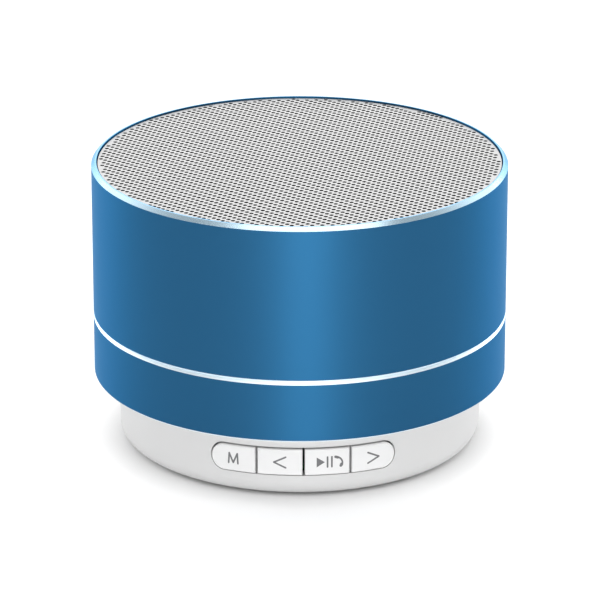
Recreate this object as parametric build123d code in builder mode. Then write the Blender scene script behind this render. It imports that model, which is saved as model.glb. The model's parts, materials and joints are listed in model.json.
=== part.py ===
"""A pocket Bluetooth speaker: an aluminium sleeve with a perforated top, standing on a plastic base.

Millimetres, +Z up. The origin is the centre of the rubber foot's underside, where the speaker rests
on a table. The four keys face -Y, and the sockets and the power switch face +Y.
"""

import os
from math import cos, degrees, pi, radians, sin

from build123d import *

os.makedirs("parts", exist_ok=True)

# ------------------------------------------------------------------ driving dimensions
# Overall
body_diameter = 70.0  # outside of the aluminium sleeve
overall_height = 48.95  # table to the sleeve's rim
base_inset = 4.3  # the base's wall stands this far inside the sleeve's
sleeve_lift = 11.9  # table to the sleeve's lower edge

# Sleeve
sleeve_wall = 2.0
rim_wall = 0.9  # thinner wall above the ledge that carries the baffle
rim_chamfer = 0.6
rim_depth = 4.8  # rim to ledge
groove_lift = 22.25  # table to the centre of the turned groove
groove_width = 0.8
groove_depth = 0.35
edge_chamfer = 0.2

# Grille and cloth
grille_recess = 0.3  # rim to the grille's face
grille_thickness = 0.5
grille_gap = 0.2  # all round, between grille and rim
grille_border = 0.3  # sheet left whole at the edge
hole_step = (0.931, 0.701)  # from one hole to the next along its slanting row
row_step = (0.712, -0.668)  # from one row to the next
hole_diameter = 0.64
hole_group = 2  # each modelled hole stands for this many squared, at that many times the size
cloth_thickness = 0.15
cloth_inset = 0.3  # from the baffle's edge

# Baffle, which holds the driver and takes the case screws
baffle_gap = 0.2
baffle_rim_width = 2.2
baffle_plate = 1.6
baffle_well = 0.6  # the plate's face lies this far below the ledge
post_radius = 2.5
driver_boss_radius = 1.8
driver_boss_length = 3.0
basket_gap = 0.4  # between the driver's basket and the baffle's opening

# Driver
driver_diameter = 40.0
basket_inset = 2.2  # from the flange's rim to the basket's outside
cone_inset = 2.8  # from the flange's rim to the surround's roll
ear_length = 4.2  # the ears' screw holes stand half of this outside the rim
ear_tip = 1.0
ear_root = 3.0  # of each ear, inside the flange's rim
ear_weld = 0.5
ear_width = 6.0
frame_sheet = 0.8
shelf_lift = 2.6  # top plate's face to the shelf that the spider lies on
shelf_inset = 2.4  # from the basket's outside
shelf_width = 1.8
shelf_slope = 1.0
centre_lap = 1.1  # the frame's bottom sheet stops this far outside the coil's gap
window_width = 13.0
window_margin = 1.2
window_corner = 1.0
tab_length = 4.2
tab_root = 0.2
tab_width = 7.0
terminal_board_length = 2.8
terminal_board_width = 9.0
terminal_board_thickness = 0.8
terminal_board_reach = 2.6  # from the shelf's corner to the board's middle
lug_length = 3.8
lug_width = 1.4
lug_thickness = 0.3
lug_reach = 3.4
lug_lead_reach = 4.8
surround_width = 3.3
surround_height = 1.5
surround_sheet = 0.2
surround_lap = 0.6  # it stops this far inside the flange's rim
gasket_thickness = 0.8
gasket_inset = 0.1
gasket_width = 2.2
cone_depth = 5.2
cone_sheet = 0.35
cone_flange = 1.0
neck_length = 0.8
cap_rise = 2.0  # of the dust cap's dome
cap_overhang = 1.5
cap_lift = 0.4
coil_radius = 6.35  # inside of the voice coil's former
former_sheet = 0.2
former_lip = 0.2
winding_sheet = 0.4
winding_length = 3.0
coil_gap = 0.35  # between winding and top plate
pole_gap = 0.45  # between former and pole
top_plate_thickness = 2.5
magnet_radius = 14.0
magnet_thickness = 5.5
magnet_setback = 0.9  # of its bore, behind the top plate's
plate_step = 1.0  # the top plate and the yoke are this much smaller than the magnet
yoke_plate = 2.5
yoke_bevel = 0.6
yoke_vent_radius = 1.2
spider_sheet = 0.25
spider_waves = 7
spider_wave_width = 0.8
spider_wave_height = 0.3
spider_collar = 1.0
frame_height = 8.9  # top plate's face to the mounting flange's underside

# Base housing
base_wall = 1.8
base_corner = 2.5
base_floor = 2.0  # table side to inside, the foot's recess included
flange_lip = 0.35  # under the sleeve's edge
flange_lip_inset = 0.5
flange_web = 0.85  # the flange thickens by this towards the wall
spigot_height = 2.0
spigot_gap = 0.15
spigot_wall = 1.95
plate_thickness = 1.5  # plate that closes the base
foot_thickness = 1.0
foot_proud = 0.4
foot_edge = 0.5  # from the foot's rim to the base's rounded corner
foot_gap = 0.2

# Case screws
tube_radius = 2.9
tube_wall_gap = 1.4
screw_radius = 1.1
screw_pilot = 0.95
screw_clearance = 1.3
screw_head_radius = 1.9
screw_head_height = 1.5
screw_head_room = 2.1
screw_seat_web = 2.8  # plastic between the screw head and the closing plate
screw_length = 12.0
screw_hole_spare = 1.2
post_angles = (28.0, 152.0, 225.0, 315.0)
small_screw_radius = 0.85
small_screw_pilot = 0.7
small_head_radius = 1.5
small_head_height = 0.9
small_screw_play = 0.2
small_hole_spare = 0.8
board_hole_spare = 0.1
head_rounding = 0.4  # share of the head's height
drive_length = 1.2  # shares of the head's radius
drive_width = 0.3
drive_depth = 0.6  # share of the head's height
tip_bevel = 0.4  # share of the screw's radius

# Circuit board
board_thickness = 1.0
board_standoff = 1.2
board_wall_gap = 1.3
board_spots = ((-18.0, 2.5), (0.0, 10.5), (17.0, -6.5))  # its screws
board_screw_length = 3.0
standoff_radius = 1.9
tube_notch = 0.4  # round each screw tube
key_board_gap = 0.8  # room for the keys to move in
key_side = 33.0  # angle from the keys' middle to each end of the board's cut edge

# Components on the board: their middles and sizes (width, depth, height)
audio_spot = (-6.5, 0.0)
audio_size = (7.0, 7.0, 1.0)
amplifier_spot = (-14.0, -7.0)
amplifier_size = (4.0, 5.0, 1.4)
memory_spot = (13.0, 0.5)
memory_size = (5.2, 4.0, 1.5)
crystal_spot = (0.5, -2.0)
crystal_size = (3.2, 2.5, 0.8)
inductor_spot = (7.5, -13.0)
inductor_size = (4.5, 4.5, 2.2)
inductor_edge = 0.5
antenna_angle = 200.0
antenna_size = (2.0, 6.5, 1.0)
passive_size = (1.6, 0.8, 0.7)
passive_spots = (
    (-1.0, 4.5),
    (1.5, 4.5),
    (-11.5, 5.5),
    (-9.5, -6.0),
    (4.5, 3.0),
    (7.5, 0.0),
    (7.5, -3.0),
    (12.0, -9.5),
    (-9.5, 14.0),
    (-6.0, 16.5),
    (3.0, -8.0),
    (-3.0, -8.0),
)
capacitor_spots = ((0.0, -14.0), (-6.0, -14.0))
capacitor_radius = 2.0
capacitor_height = 4.4
capacitor_edge = 0.4
connector_size = (4.6, 7.0, 3.5)
connector_shift = 0.5  # of the connectors, inwards from their leads
chip_edge = 0.1

# Keys
key_pitch = 7.8  # measured along the base's wall
key_height = 4.6
key_lift = 6.65  # table to the keys' middle
key_gap = 0.36
key_window_gap = 0.2  # above and below the keys
key_end_gap = 0.35  # at each end of their row
key_proud = 0.4
key_edge = 0.28
key_travel = 0.3
key_back = 1.0  # thickness of the flange that holds a key in
key_back_rim = 0.6
key_back_gap = 0.15
key_stem_length = 1.5
key_stem_width = 2.0
key_stem_height = 1.6
end_rounding = 0.98  # of the row's ends, as a share of a full half circle

# Side-push switches behind the keys
switch_width = 4.6
switch_depth = 3.4
plunger_width = 2.4
plunger_height = 1.3
plunger_out = 1.0
plunger_in = 1.0
slide_gap = 0.1

# Sockets and power switch on the back
usb_width = 7.5
usb_height = 2.6
usb_depth = 5.6
usb_sheet = 0.3
usb_recess = 1.2  # the base's wall to the socket's mouth
usb_hole_gap = 0.35
usb_corner = 0.8
usb_tongue_width = 4.4
usb_tongue_height = 0.7
usb_tongue_setback = 0.6  # from the socket's mouth
card_angle = 60.0
card_width = 14.0
card_depth = 14.5
card_height = 1.9
card_sheet = 0.25
card_slot_width = 12.0
card_slot_height = 1.4
card_slot_corner = 0.42
card_way_width = 11.4  # the way for the card inside the socket
card_way_height = 1.1
card_stop = 1.5
power_angle = 120.0
power_width = 8.6
power_depth = 3.6
power_height = 3.4
power_travel = 2.0
knob_width = 3.2
knob_height = 2.0
knob_proud = 0.5
knob_play = 0.2
knob_corner = 0.3
knob_plate = 0.6  # thickness of the plate that holds the knob in
knob_plate_inset = 0.9  # its outer face, inside the base's wall
knob_plate_margin = 0.7
power_corner = 0.4
power_inset = 0.4  # of the switch, from the board's edge
rib_count = 3
rib_pitch = 0.8
rib_groove = 0.35
rib_depth = 0.25
lever_width = 1.5
lever_height = 1.2
lever_reach = 0.6  # past the knob plate's outer face
mic_angle = 168.0
mic_lift = 7.2
mic_radius = 2.0
mic_length = 1.5
mic_hole = 0.5
grommet_wall = 0.5
mic_gap = 0.2  # wall to grommet, and board to cradle
mic_cradle = 1.1
mic_cradle_wall = 0.8
led_angle = 137.0
led_hole = 0.6
led_lift = 0.5  # board's face to the light's middle
led_inset = 0.5
led_width = 2.0
led_height = 0.8
led_depth = 1.25

# Battery and leads
battery_length = 34.0
battery_width = 24.0
battery_thickness = 5.0
battery_edge = 1.1
tape_thickness = 0.5
tape_margin = 3.0
tab_board_thickness = 1.2
lead_diameter = 0.8
lead_spread = 2.6  # between the two leads of a pair
lead_bend = 2.6
lead_inset = 3.6  # from the board's edge to where the pairs drop through the plate
lead_drop = 8.0  # the speaker leads' first run, down from the lugs
lead_slant = 6.0  # height of their second run
slot_width = 3.0
slot_length = 6.0

# How far a cutting shape passes the surface that it cuts
spare = 1.0

# ------------------------------------------------------------------ derived places
sleeve_r = body_diameter / 2
bore_r = sleeve_r - sleeve_wall
rim_r = sleeve_r - rim_wall
ledge_z = overall_height - rim_depth

grille_top = overall_height - grille_recess
grille_r = rim_r - grille_gap
cloth_top = grille_top - grille_thickness
cloth_bottom = cloth_top - cloth_thickness

base_r = sleeve_r - base_inset
base_inner_r = base_r - base_wall
floor_top = foot_proud + base_floor
foot_r = base_r - base_corner - foot_edge
spigot_top = sleeve_lift + spigot_height
plate_top = spigot_top
plate_bottom = plate_top - plate_thickness
plate_r = bore_r - spigot_gap - spigot_wall - spigot_gap

post_circle = base_inner_r - tube_radius - tube_wall_gap
post_spots = [
    (post_circle * cos(radians(a)), post_circle * sin(radians(a))) for a in post_angles
]
screw_seat = plate_bottom - screw_seat_web

board_bottom = floor_top + board_standoff
board_top = board_bottom + board_thickness
board_r = base_inner_r - board_wall_gap
lead_circle = board_r - lead_inset

flange_bottom = ledge_z - baffle_well
flange_top = flange_bottom + frame_sheet
driver_r = driver_diameter / 2
basket_r = driver_r - basket_inset
cone_opening_r = driver_r - cone_inset
shelf_r = basket_r - shelf_inset
ear_circle = driver_r + ear_length / 2
top_plate_top = flange_bottom - frame_height
shelf_z = top_plate_top + shelf_lift  # middle of the shelf's sheet
top_plate_bottom = top_plate_top - top_plate_thickness
magnet_bottom = top_plate_bottom - magnet_thickness
yoke_bottom = magnet_bottom - yoke_plate
former_r = coil_radius + former_sheet
winding_r = former_r + winding_sheet
pole_r = coil_radius - pole_gap

key_pitch_angle = degrees(key_pitch / base_r)
key_names = ("mode", "back", "play", "next")
key_angles = [-90 + (i - 1.5) * key_pitch_angle for i in range(4)]
key_face_r = base_r + key_proud
key_back_r = base_inner_r - key_back_gap  # outside of the holding flange
key_inner_r = key_back_r - key_back
plunger_tip_r = key_inner_r - key_stem_length
switch_face_r = plunger_tip_r - plunger_out
switch_height = 2 * (key_lift - board_top)

usb_mouth_r = base_r - usb_recess
usb_z = board_top + usb_height / 2
card_z = board_top + card_height / 2
card_mouth = (board_r**2 - (card_width / 2) ** 2) ** 0.5  # its front corners reach the board's edge
power_z = board_top + power_height / 2
power_face_r = board_r - power_inset
power_slot = knob_width + power_travel + 2 * knob_play
led_z = board_top + led_lift
battery_bottom = plate_top + tape_thickness


# ------------------------------------------------------------------ helpers
def facing(angle, radius, height):
    """A plane on the wall, facing outwards: local X runs round the wall and local Y up."""
    a = radians(angle)
    return Plane(
        origin=(radius * cos(a), radius * sin(a), height),
        x_dir=(-sin(a), cos(a), 0),
        z_dir=(cos(a), sin(a), 0),
    )


def section(angle):
    """A plane through the axis: local X runs outwards and local Y up."""
    a = radians(angle)
    return Plane(origin=(0, 0, 0), x_dir=(cos(a), sin(a), 0), z_dir=(sin(a), -cos(a), 0))


def level(height):
    """A horizontal plane."""
    return Plane.XY.offset(height)


def save(builder, name):
    """Labels a finished piece and writes it."""
    builder.part.label = name
    export_step(builder.part, f"parts/{name}.step")


def ring(name, inner, outer, bottom, top):
    """A plain ring or, with no inner radius, a disc."""
    with BuildPart() as piece:
        with BuildSketch(level(bottom)):
            Circle(outer)
            if inner:
                Circle(inner, mode=Mode.SUBTRACT)
        extrude(amount=top - bottom)
    save(piece, name)


def turned(name, points):
    """A piece of revolution from its half section's corners, given as (radius, height)."""
    with BuildPart() as piece:
        with BuildSketch(Plane.XZ):
            with BuildLine():
                Polyline(*points, close=True)
            make_face()
        revolve(axis=Axis.Z)
    save(piece, name)


def block(name, plane, width, height, depth, edge=0.0):
    """A rectangular component that grows from a plane, with its upright edges rounded."""
    with BuildPart() as piece:
        with BuildSketch(plane):
            Rectangle(width, height)
        extrude(amount=depth)
        if edge:
            fillet(piece.edges().filter_by(Axis.Z), radius=edge)
    save(piece, name)


def screws(name, spots, seat, radius, length, head_radius, head_height, way):
    """Pan-head screws whose heads lie on a seat. way is 1 if they point up and -1 if down."""
    with BuildPart() as piece:
        with BuildSketch(level(seat)):
            with Locations(*spots):
                Circle(head_radius)
        extrude(amount=-way * head_height)
        rims = piece.edges().group_by(Axis.Z)[0 if way > 0 else -1]
        fillet(rims, radius=head_height * head_rounding)
        with BuildSketch(level(seat - way * head_height)):
            with Locations(*spots):
                Rectangle(head_radius * drive_length, head_radius * drive_width)
                Rectangle(head_radius * drive_width, head_radius * drive_length)
        extrude(amount=way * head_height * drive_depth, mode=Mode.SUBTRACT)
        with BuildSketch(level(seat)):
            with Locations(*spots):
                Circle(radius)
        extrude(amount=way * length)
        tips = piece.edges().group_by(Axis.Z)[-1 if way > 0 else 0]
        chamfer(tips, length=radius * tip_bevel)
    save(piece, name)


def lead(name, *route):
    """A round lead along straight runs joined by arcs."""
    with BuildPart() as piece:
        with BuildLine() as path:
            FilletPolyline(*route, radius=lead_bend)
        with BuildSketch(Plane(origin=path.line @ 0, z_dir=path.line % 0)):
            Circle(lead_diameter / 2)
        sweep()
    save(piece, name)


def row_band(inner, outer, height, spread):
    """The keys' whole row as one band of the wall, with round ends. spread widens it at each end."""
    reach = degrees((2 * key_pitch + spread) / base_r)
    with BuildPart() as band:
        with BuildSketch(section(-90 - reach)):
            with Locations(((inner + outer) / 2, key_lift)):
                Rectangle(outer - inner, height)
        revolve(axis=Axis.Z, revolution_arc=2 * reach)
        corners = band.edges().filter_by(GeomType.LINE).filter_by(Axis.Z, reverse=True)
        fillet(corners, radius=height / 2 * end_rounding)
    return band.part


# ------------------------------------------------------------------ sleeve, grille and baffle
with BuildPart() as sleeve:
    with BuildSketch(Plane.XZ):
        with BuildLine():
            Polyline(
                (bore_r, sleeve_lift),
                (sleeve_r - edge_chamfer, sleeve_lift),
                (sleeve_r, sleeve_lift + edge_chamfer),
                (sleeve_r, groove_lift - groove_width / 2),
                (sleeve_r - groove_depth, groove_lift),
                (sleeve_r, groove_lift + groove_width / 2),
                (sleeve_r, overall_height - rim_chamfer),
                (sleeve_r - rim_chamfer, overall_height),
                (rim_r, overall_height),
                (rim_r, ledge_z),
                (bore_r, ledge_z),
                close=True,
            )
        make_face()
    revolve(axis=Axis.Z)
save(sleeve, "sleeve")

# The sheet's holes stand in slanting rows.
group_radius = hole_group * hole_diameter / 2
open_r = grille_r - grille_border - group_radius
reach = int(2 * grille_r / (hole_group * hole_step[0]))
hole_spots = []
for row in range(-reach, reach + 1):
    for place in range(-reach, reach + 1):
        x = hole_group * (place * hole_step[0] + row * row_step[0])
        y = hole_group * (place * hole_step[1] + row * row_step[1])
        if x**2 + y**2 < open_r**2:
            hole_spots.append((x, y))
with BuildPart() as grille:
    with BuildSketch(level(cloth_top)):
        Circle(grille_r)
        with Locations(*hole_spots):
            Circle(group_radius, mode=Mode.SUBTRACT)
    extrude(amount=grille_thickness, clean=False)
save(grille, "grille")

baffle_r = rim_r - baffle_gap
baffle_lower_r = bore_r - baffle_gap
baffle_bottom = flange_bottom - baffle_plate
baffle_opening_r = basket_r + basket_gap
ring("dust_cloth", 0, baffle_r - cloth_inset, cloth_bottom, cloth_top)

with BuildPart() as baffle:
    with BuildSketch(Plane.XZ):
        with BuildLine():
            Polyline(
                (baffle_opening_r, baffle_bottom),
                (baffle_lower_r, baffle_bottom),
                (baffle_lower_r, ledge_z),
                (baffle_r, ledge_z),
                (baffle_r, cloth_bottom),
                (baffle_r - baffle_rim_width, cloth_bottom),
                (baffle_r - baffle_rim_width, flange_bottom),
                (baffle_opening_r, flange_bottom),
                close=True,
            )
        make_face()
    revolve(axis=Axis.Z)
    with BuildSketch(level(plate_top)):
        with Locations(*post_spots):
            Circle(post_radius)
    extrude(amount=baffle_bottom - plate_top)
    with BuildSketch(level(baffle_bottom)):
        with PolarLocations(ear_circle, 4):
            Circle(driver_boss_radius)
    extrude(amount=-driver_boss_length)
    with BuildSketch(level(plate_top)):
        with Locations(*post_spots):
            Circle(screw_pilot)
    extrude(amount=screw_seat + screw_length + screw_hole_spare - plate_top, mode=Mode.SUBTRACT)
    with BuildSketch(level(flange_bottom)):
        with PolarLocations(ear_circle, 4):
            Circle(small_screw_pilot)
    extrude(amount=-baffle_plate - driver_boss_length, mode=Mode.SUBTRACT)
save(baffle, "baffle")

# ------------------------------------------------------------------ driver
window_height = flange_bottom - shelf_z - 2 * window_margin
with BuildPart() as driver_frame:
    with BuildSketch(Plane.XZ):
        with BuildLine() as sheet:
            Polyline(
                (winding_r + coil_gap + centre_lap, top_plate_top + frame_sheet / 2),
                (shelf_r - shelf_width - shelf_slope, top_plate_top + frame_sheet / 2),
                (shelf_r - shelf_width, shelf_z),
                (shelf_r, shelf_z),
                (basket_r - frame_sheet / 2, flange_bottom + frame_sheet / 2),
                (driver_r, flange_bottom + frame_sheet / 2),
            )
        trace(sheet.line, line_width=frame_sheet)
    revolve(axis=Axis.Z)
    for quarter in range(4):
        window = facing(45 + 90 * quarter, shelf_r - shelf_width, (shelf_z + flange_bottom) / 2)
        with BuildSketch(window):
            RectangleRounded(window_width, window_height, window_corner)
        extrude(amount=driver_r, mode=Mode.SUBTRACT)
    with BuildSketch(level(flange_bottom)):
        for quarter in range(4):
            with Locations(Rot(0, 0, 90 * quarter)):
                with Locations((driver_r + (ear_length + ear_tip - ear_root) / 2, 0)):
                    SlotOverall(ear_length + ear_tip + ear_root, ear_width)
        Circle(driver_r - ear_weld, mode=Mode.SUBTRACT)
    extrude(amount=frame_sheet)
    with BuildSketch(level(flange_bottom)):
        with PolarLocations(ear_circle, 4):
            Circle(small_screw_radius + small_screw_play)
    extrude(amount=frame_sheet, mode=Mode.SUBTRACT)
    with BuildSketch(level(shelf_z - frame_sheet / 2)):
        with Locations((-shelf_r - (tab_length - tab_root) / 2, 0)):
            Rectangle(tab_length + tab_root, tab_width)
    extrude(amount=frame_sheet)
save(driver_frame, "driver_frame")

screws(
    "driver_screws",
    [(ear_circle * cos(pi / 2 * i), ear_circle * sin(pi / 2 * i)) for i in range(4)],
    flange_top,
    small_screw_radius,
    frame_sheet + baffle_plate + driver_boss_length - small_hole_spare,
    small_head_radius,
    small_head_height,
    -1,
)

roll_outer_r = cone_opening_r
roll_inner_r = roll_outer_r - surround_width
roll_z = flange_top + surround_sheet / 2
with BuildPart() as surround:
    with BuildSketch(Plane.XZ):
        with BuildLine() as sheet:
            Line((driver_r - surround_lap, roll_z), (roll_outer_r, roll_z))
            ThreePointArc(
                (roll_outer_r, roll_z),
                ((roll_outer_r + roll_inner_r) / 2, roll_z + surround_height),
                (roll_inner_r, roll_z),
            )
            Line((roll_inner_r, roll_z), (roll_inner_r - cone_flange, roll_z))
        trace(sheet.line, line_width=surround_sheet)
    revolve(axis=Axis.Z)
save(surround, "surround")

ring(
    "driver_gasket",
    driver_r - gasket_inset - gasket_width,
    driver_r - gasket_inset,
    flange_top + surround_sheet,
    flange_top + surround_sheet + gasket_thickness,
)

cone_rim_z = flange_top - cone_sheet / 2
neck_r = former_r + cone_sheet / 2
neck_z = flange_top - cone_depth
with BuildPart() as cone:
    with BuildSketch(Plane.XZ):
        with BuildLine() as sheet:
            Polyline(
                (roll_inner_r, cone_rim_z),
                (roll_inner_r - cone_flange, cone_rim_z),
                (neck_r, neck_z),
                (neck_r, neck_z - neck_length),
            )
        trace(sheet.line, line_width=cone_sheet)
    revolve(axis=Axis.Z)
save(cone, "cone")

cap_r = neck_r + cap_overhang
cone_slope = (cone_rim_z - neck_z) / (roll_inner_r - cone_flange - neck_r)
cap_foot_z = neck_z + cap_overhang * cone_slope + cap_lift
cap_dome_r = (cap_r**2 + cap_rise**2) / (2 * cap_rise)
with BuildPart() as dust_cap:
    with Locations((0, 0, cap_foot_z + cap_rise - cap_dome_r)):
        Sphere(cap_dome_r)
        Sphere(cap_dome_r - cone_sheet, mode=Mode.SUBTRACT)
    with BuildSketch(level(cap_foot_z)):
        Circle(cap_r + spare)
    extrude(amount=cap_rise + spare, mode=Mode.INTERSECT)
save(dust_cap, "dust_cap")

gap_middle = (top_plate_top + top_plate_bottom) / 2
ring(
    "coil_former",
    coil_radius,
    former_r,
    gap_middle - winding_length / 2 - former_lip,
    neck_z + former_lip,
)
ring(
    "voice_coil",
    former_r,
    winding_r,
    gap_middle - winding_length / 2,
    gap_middle + winding_length / 2,
)

spider_z = shelf_z + frame_sheet / 2 + spider_sheet / 2
with BuildPart() as spider:
    with BuildSketch(Plane.XZ):
        with BuildLine() as sheet:
            waves = [(former_r, spider_z)]
            for wave in range(spider_waves):
                wave_r = former_r + spider_collar + wave * spider_wave_width
                waves.append((wave_r, spider_z + spider_wave_height * (-1) ** wave))
            waves.append((shelf_r - shelf_width - frame_sheet / 2, spider_z))
            waves.append((shelf_r - frame_sheet / 2, spider_z))
            Polyline(*waves)
        trace(sheet.line, line_width=spider_sheet)
    revolve(axis=Axis.Z)
    with BuildSketch(level(spider_z - spare)):
        Circle(former_r)
    extrude(amount=2 * spare, mode=Mode.SUBTRACT)
save(spider, "spider")

plate_bore = winding_r + coil_gap
plate_outer = magnet_radius - plate_step
ring("top_plate", plate_bore, plate_outer, top_plate_bottom, top_plate_top)
ring("magnet", plate_bore + magnet_setback, magnet_radius, magnet_bottom, top_plate_bottom)
turned(
    "yoke",
    (
        (yoke_vent_radius, yoke_bottom),
        (plate_outer - yoke_bevel, yoke_bottom),
        (plate_outer, yoke_bottom + yoke_bevel),
        (plate_outer, magnet_bottom),
        (pole_r, magnet_bottom),
        (pole_r, top_plate_top),
        (yoke_vent_radius, top_plate_top),
    ),
)

tab_top = shelf_z + frame_sheet / 2
lug_bottom = tab_top + terminal_board_thickness
block(
    "terminal_board",
    Plane(origin=(-shelf_r - terminal_board_reach, 0, tab_top)),
    terminal_board_length,
    terminal_board_width,
    terminal_board_thickness,
)
with BuildPart() as terminal_lugs:
    with BuildSketch(level(lug_bottom)):
        with Locations((-shelf_r - lug_reach, 0)):
            with GridLocations(0, lead_spread, 1, 2):
                Rectangle(lug_length, lug_width)
    extrude(amount=lug_thickness)
save(terminal_lugs, "terminal_lugs")

# ------------------------------------------------------------------ base housing, plate, foot, case screws
spigot_r = bore_r - spigot_gap
spigot_inner_r = spigot_r - spigot_wall
flange_r = sleeve_r - flange_lip_inset
with BuildPart() as base_housing:
    with BuildSketch(Plane.XZ):
        with BuildLine():
            Polyline(
                (base_r - base_corner, foot_proud),
                (foot_r + foot_gap, foot_proud),
                (foot_r + foot_gap, foot_thickness),
                (0, foot_thickness),
                (0, floor_top),
                (base_inner_r, floor_top),
                (base_inner_r, plate_bottom),
                (spigot_inner_r, plate_bottom),
                (spigot_inner_r, spigot_top),
                (spigot_r, spigot_top),
                (spigot_r, sleeve_lift),
                (flange_r, sleeve_lift),
                (flange_r, sleeve_lift - flange_lip),
                (base_r, sleeve_lift - flange_lip - flange_web),
                (base_r, foot_proud + base_corner),
            )
            RadiusArc(
                (base_r, foot_proud + base_corner),
                (base_r - base_corner, foot_proud),
                base_corner,
            )
        make_face()
    revolve(axis=Axis.Z)
    with BuildSketch(level(floor_top)):
        with Locations(*post_spots):
            Circle(tube_radius)
    extrude(amount=plate_bottom - floor_top)
    with BuildSketch(level(floor_top)):
        with Locations(*board_spots):
            Circle(standoff_radius)
    extrude(amount=board_standoff)
    with BuildSketch(facing(mic_angle, board_r + mic_gap, mic_lift)):
        Circle(mic_radius + grommet_wall + mic_cradle_wall)
    extrude(amount=mic_cradle + base_wall / 2)
    with BuildSketch(level(foot_thickness)):
        with Locations(*post_spots):
            Circle(screw_head_room)
    extrude(amount=screw_seat - foot_thickness, mode=Mode.SUBTRACT)
    with BuildSketch(level(screw_seat)):
        with Locations(*post_spots):
            Circle(screw_clearance)
    extrude(amount=screw_seat_web, mode=Mode.SUBTRACT)
    with BuildSketch(level(board_bottom)):
        with Locations(*board_spots):
            Circle(small_screw_pilot)
    extrude(amount=board_thickness - board_screw_length - board_hole_spare, mode=Mode.SUBTRACT)
    window_height = key_height + 2 * key_window_gap
    add(
        row_band(base_inner_r - spare, base_r + spare, window_height, key_end_gap),
        mode=Mode.SUBTRACT,
    )
    with BuildSketch(facing(90, base_inner_r - spare, usb_z)):
        RectangleRounded(usb_width + 2 * usb_hole_gap, usb_height + 2 * usb_hole_gap, usb_corner)
    extrude(amount=base_wall + 2 * spare, mode=Mode.SUBTRACT)
    with BuildSketch(facing(card_angle, base_inner_r - 2 * spare, card_z)):
        RectangleRounded(card_slot_width, card_slot_height, card_slot_corner)
    extrude(amount=base_wall + 3 * spare, mode=Mode.SUBTRACT)
    with BuildSketch(facing(power_angle, base_inner_r - spare, power_z)):
        RectangleRounded(power_slot, knob_height + 2 * knob_play, power_corner)
    extrude(amount=base_wall + 2 * spare, mode=Mode.SUBTRACT)
    with BuildSketch(facing(mic_angle, board_r, mic_lift)):
        Circle(mic_radius + grommet_wall)
    extrude(amount=base_inner_r - mic_gap - board_r, mode=Mode.SUBTRACT)
    with BuildSketch(facing(mic_angle, board_r, mic_lift)):
        Circle(mic_hole)
    extrude(amount=base_r - board_r + spare, mode=Mode.SUBTRACT)
    with BuildSketch(facing(led_angle, base_inner_r - spare, led_z)):
        Circle(led_hole)
    extrude(amount=base_wall + 2 * spare, mode=Mode.SUBTRACT)
save(base_housing, "base_housing")

with BuildPart() as chamber_plate:
    with BuildSketch(level(plate_bottom)):
        Circle(plate_r)
        with Locations(*post_spots):
            Circle(screw_clearance, mode=Mode.SUBTRACT)
        with Locations((lead_circle, 0), (-lead_circle, 0)):
            SlotOverall(slot_length, slot_width, rotation=90, mode=Mode.SUBTRACT)
    extrude(amount=plate_thickness)
save(chamber_plate, "chamber_plate")

with BuildPart() as foot:
    with BuildSketch(level(0)):
        Circle(foot_r)
    extrude(amount=foot_thickness)
    chamfer(foot.edges().group_by(Axis.Z)[0], length=foot_edge / 2)
save(foot, "foot")

screws(
    "case_screws",
    post_spots,
    screw_seat,
    screw_radius,
    screw_length,
    screw_head_radius,
    screw_head_height,
    1,
)

# ------------------------------------------------------------------ circuit board
board_front_r = key_inner_r - key_board_gap
with BuildPart() as circuit_board:
    with BuildSketch(level(board_bottom)):
        Circle(board_r)
        with BuildLine():
            opening = CenterArc((0, 0), board_front_r, -90 - key_side, 2 * key_side)
            Polyline(
                opening @ 1,
                (board_r * sin(radians(key_side)), -board_r - spare),
                (-board_r * sin(radians(key_side)), -board_r - spare),
                opening @ 0,
            )
        make_face(mode=Mode.SUBTRACT)
        with Locations(*post_spots):
            Circle(tube_radius + tube_notch, mode=Mode.SUBTRACT)
        with Locations(*board_spots):
            Circle(small_screw_radius + small_screw_play, mode=Mode.SUBTRACT)
    extrude(amount=board_thickness)
save(circuit_board, "circuit_board")

screws(
    "board_screws",
    board_spots,
    board_top,
    small_screw_radius,
    board_screw_length,
    small_head_radius,
    small_head_height,
    -1,
)


def chips(name, spots, size, turn=0.0, edge=chip_edge):
    """Rectangular components that lie on the board, with their upper edges bevelled."""
    width, depth, height = size
    with BuildPart() as piece:
        with BuildSketch(level(board_top)):
            with Locations(*spots):
                Rectangle(width, depth, rotation=turn)
        extrude(amount=height)
        chamfer(piece.edges().group_by(Axis.Z)[-1], length=edge)
    save(piece, name)


chips("audio_chip", [audio_spot], audio_size)
chips("amplifier_chip", [amplifier_spot], amplifier_size)
chips("memory_chip", [memory_spot], memory_size)
chips("crystal", [crystal_spot], crystal_size)
chips("inductor", [inductor_spot], inductor_size, edge=inductor_edge)
antenna_turn = radians(antenna_angle)
antenna_spot = (lead_circle * cos(antenna_turn), lead_circle * sin(antenna_turn))
chips("antenna", [antenna_spot], antenna_size, turn=antenna_angle)
chips("chip_passives", passive_spots, passive_size)
with BuildPart() as capacitors:
    with BuildSketch(level(board_top)):
        with Locations(*capacitor_spots):
            Circle(capacitor_radius)
    extrude(amount=capacitor_height)
    fillet(capacitors.edges().group_by(Axis.Z)[-1], radius=capacitor_edge)
save(capacitors, "capacitors")

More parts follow.
